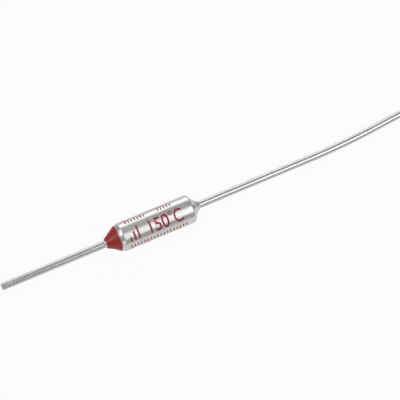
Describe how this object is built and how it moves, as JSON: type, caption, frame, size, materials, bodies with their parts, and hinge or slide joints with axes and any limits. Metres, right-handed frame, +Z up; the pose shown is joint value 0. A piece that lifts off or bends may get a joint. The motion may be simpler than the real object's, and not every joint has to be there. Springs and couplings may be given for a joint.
{
  "type": "thermal fuse",
  "caption": "Axial thermal fuse: round plated metal case with a red resin cone at one end, a tapered neck at the other and a wire lead on each side.",
  "frame": {"origin": "on the case axis, midway between the face of the lip and the closed end", "axes": "X along the case axis with the resin end and the isolated lead at -X and the case lead at +X; +Z up; the case lead bends towards +Y"},
  "size_m": [0.0614, 0.004, 0.004],
  "materials": {
    "plated_case": "satin silver plating on a drawn copper alloy can",
    "tinned_wire": "drawn copper wire with bright tin plating",
    "red_resin": "glossy cast epoxy",
    "white_ceramic": "fired, unglazed",
    "spring_wire": "drawn spring wire",
    "brass_sheet": "blanked sheet",
    "silver_sheet": "bright silver alloy sheet",
    "pellet_compound": "pressed powder tablet"
  },
  "bodies": {
    "root": {"metal_case": "plated_case", "case_lead": "tinned_wire", "thermal_pellet": "pellet_compound", "pellet_disc": "brass_sheet", "compression_spring": "spring_wire", "contact_disc": "brass_sheet", "star_contact": "silver_sheet", "trip_spring": "spring_wire", "ceramic_bushing": "white_ceramic", "isolated_lead": "tinned_wire", "resin_seal": "red_resin"}
  },
  "joints": []
}
